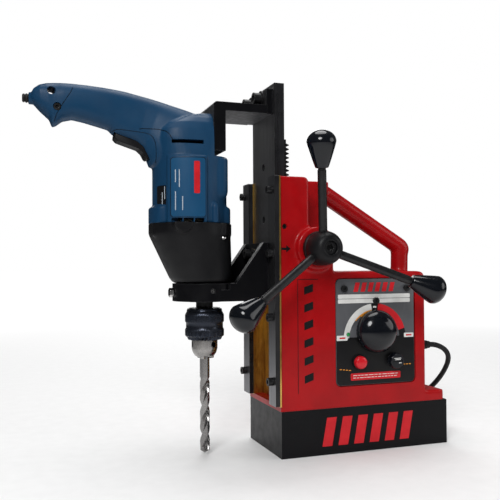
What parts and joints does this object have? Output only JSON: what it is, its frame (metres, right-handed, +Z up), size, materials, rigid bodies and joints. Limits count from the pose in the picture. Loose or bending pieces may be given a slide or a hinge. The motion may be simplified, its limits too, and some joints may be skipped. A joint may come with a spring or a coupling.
{
  "type": "magnetic drill press",
  "caption": "Portable drill press with an electromagnet base, a cast stand, a rack-fed slide worked by a spoked capstan, and a pistol-grip electric drill held by its neck.",
  "frame": {"origin": "centre of the magnet's bottom face", "axes": "+X along the magnet towards the control box, +Y to the rear (away from the capstan), +Z up, along the slide"},
  "size_m": [0.492, 0.2668, 0.394],
  "materials": {
    "black_paint": "satin black paint",
    "red_paint": "glossy red enamel over a cast surface",
    "machined_steel": "ground and oiled steel",
    "bright_steel": "bright machined steel",
    "black_oxide": "black oxide steel",
    "brass": "worn brass",
    "copper": "enamelled copper winding",
    "resin": "cast potting resin",
    "panel_plate": "printed plate, grey above and black below",
    "black_plastic": "black phenolic plastic",
    "switch_plastic": "cream moulded plastic",
    "blue_plastic": "dark blue moulded nylon",
    "dark_plastic": "dark grained nylon",
    "red_plastic": "red moulded plastic",
    "green_lens": "green lens",
    "rubber": "black rubber",
    "motor_iron": "stacked motor iron",
    "fan_plastic": "pale moulded plastic",
    "chrome": "polished steel",
    "cast_alloy": "die-cast alloy"
  },
  "bodies": {
    "stand": {"magnet_core": "black_paint", "magnet_coil": "copper", "coil_potting": "resin", "stand_casting": "red_paint", "rear_cover": "red_paint", "rear_cover_screws": "black_oxide", "control_panel": "panel_plate", "panel_screws": "black_oxide", "power_switch": "switch_plastic", "push_switch": "dark_plastic", "indicator_lamp": "green_lens", "fuse_holder": "black_plastic", "cord_gland": "rubber", "keeper_near": "machined_steel", "keeper_far": "machined_steel", "gib_strips": "brass", "channel_liners": "brass", "keeper_screws": "black_oxide", "gib_lock_screw": "black_oxide", "pinion_bushes": "brass", "base_bolts": "black_oxide", "mains_cord": "rubber", "cord_coil": "rubber", "mains_plug": "rubber"},
    "feed": {"pinion_shaft": "bright_steel", "feed_hub": "black_paint", "hub_screw": "black_oxide", "feed_spokes": "black_oxide", "feed_knobs": "black_plastic"},
    "ram": {"slide_plate": "machined_steel", "gear_rack": "black_oxide", "rack_screws": "black_oxide", "collar_bracket": "black_paint", "bracket_screws": "black_oxide", "clamp_screws": "bright_steel", "top_bracket": "black_paint", "top_bracket_bolts": "black_oxide", "steady_bolt": "black_oxide", "housing_near": "blue_plastic", "housing_far": "blue_plastic", "housing_screws": "bright_steel", "gear_housing": "dark_plastic", "gear_cover": "cast_alloy", "ball_bearings": "bright_steel", "motor_stator": "motor_iron", "trigger_switch": "dark_plastic", "cable_boot": "rubber"},
    "trigger": {"trigger": "dark_plastic"},
    "armature": {"armature": "copper", "cooling_fan": "fan_plastic"},
    "spindle": {"spindle": "bright_steel", "spindle_gear": "bright_steel", "chuck_body": "chrome", "drill_bit": "bright_steel"},
    "chuck_sleeve": {"chuck_sleeve": "black_oxide"},
    "chuck_jaw_1": {"chuck_jaw_1": "chrome"},
    "chuck_jaw_2": {"chuck_jaw_2": "chrome"},
    "chuck_jaw_3": {"chuck_jaw_3": "chrome"},
    "switch_knob": {"switch_knob": "black_plastic"},
    "push_button": {"push_button": "red_plastic"}
  },
  "joints": [
    {"name": "ram_slide", "type": "slide", "parent": "stand", "child": "ram", "axis": [0, 0, 1], "range_m": [-0.1, 0.045]},
    {"name": "feed_turn", "type": "hinge", "parent": "stand", "child": "feed", "pos_m": [-0.06, 0, 0.2175], "axis": [0, 1, 0], "range_deg": [-383, 173]},
    {"name": "spindle_turn", "type": "hinge", "parent": "ram", "child": "spindle", "pos_m": [-0.1685, 0, 0.12], "axis": [0, 0, 1], "continuous": true},
    {"name": "armature_turn", "type": "hinge", "parent": "ram", "child": "armature", "pos_m": [-0.1845, 0, 0.28], "axis": [0, 0, 1], "continuous": true},
    {"name": "sleeve_turn", "type": "hinge", "parent": "spindle", "child": "chuck_sleeve", "pos_m": [-0.1685, 0, 0.135], "axis": [0, 0, 1], "range_deg": [0, 1840]},
    {"name": "jaw_1_slide", "type": "slide", "parent": "spindle", "child": "chuck_jaw_1", "axis": [0.1908, 0, 0.9816], "range_m": [0, 0.0065]},
    {"name": "jaw_2_slide", "type": "slide", "parent": "spindle", "child": "chuck_jaw_2", "axis": [-0.0954, 0.1652, 0.9816], "range_m": [0, 0.0065]},
    {"name": "jaw_3_slide", "type": "slide", "parent": "spindle", "child": "chuck_jaw_3", "axis": [-0.0954, -0.1652, 0.9816], "range_m": [0, 0.0065]},
    {"name": "trigger_pull", "type": "slide", "parent": "ram", "child": "trigger", "axis": [0.5105, 0, 0.8599], "range_m": [0, 0.006], "stiffness_N_per_m": 400},
    {"name": "switch_turn", "type": "hinge", "parent": "stand", "child": "switch_knob", "pos_m": [0.0105, -0.0472, 0.128], "axis": [0, 1, 0], "range_deg": [0, 205]},
    {"name": "button_press", "type": "slide", "parent": "stand", "child": "push_button", "axis": [0, 1, 0], "range_m": [0, 0.003], "stiffness_N_per_m": 500}
  ],
  "couplings": [
    {"joint": "feed_turn", "follows": "ram_slide", "rad_per_m": 66.667},
    {"joint": "armature_turn", "follows": "spindle_turn", "ratio": -4},
    {"joint": "jaw_1_slide", "follows": "sleeve_turn", "m_per_rad": 0.00020213},
    {"joint": "jaw_2_slide", "follows": "sleeve_turn", "m_per_rad": 0.00020213},
    {"joint": "jaw_3_slide", "follows": "sleeve_turn", "m_per_rad": 0.00020213}
  ]
}
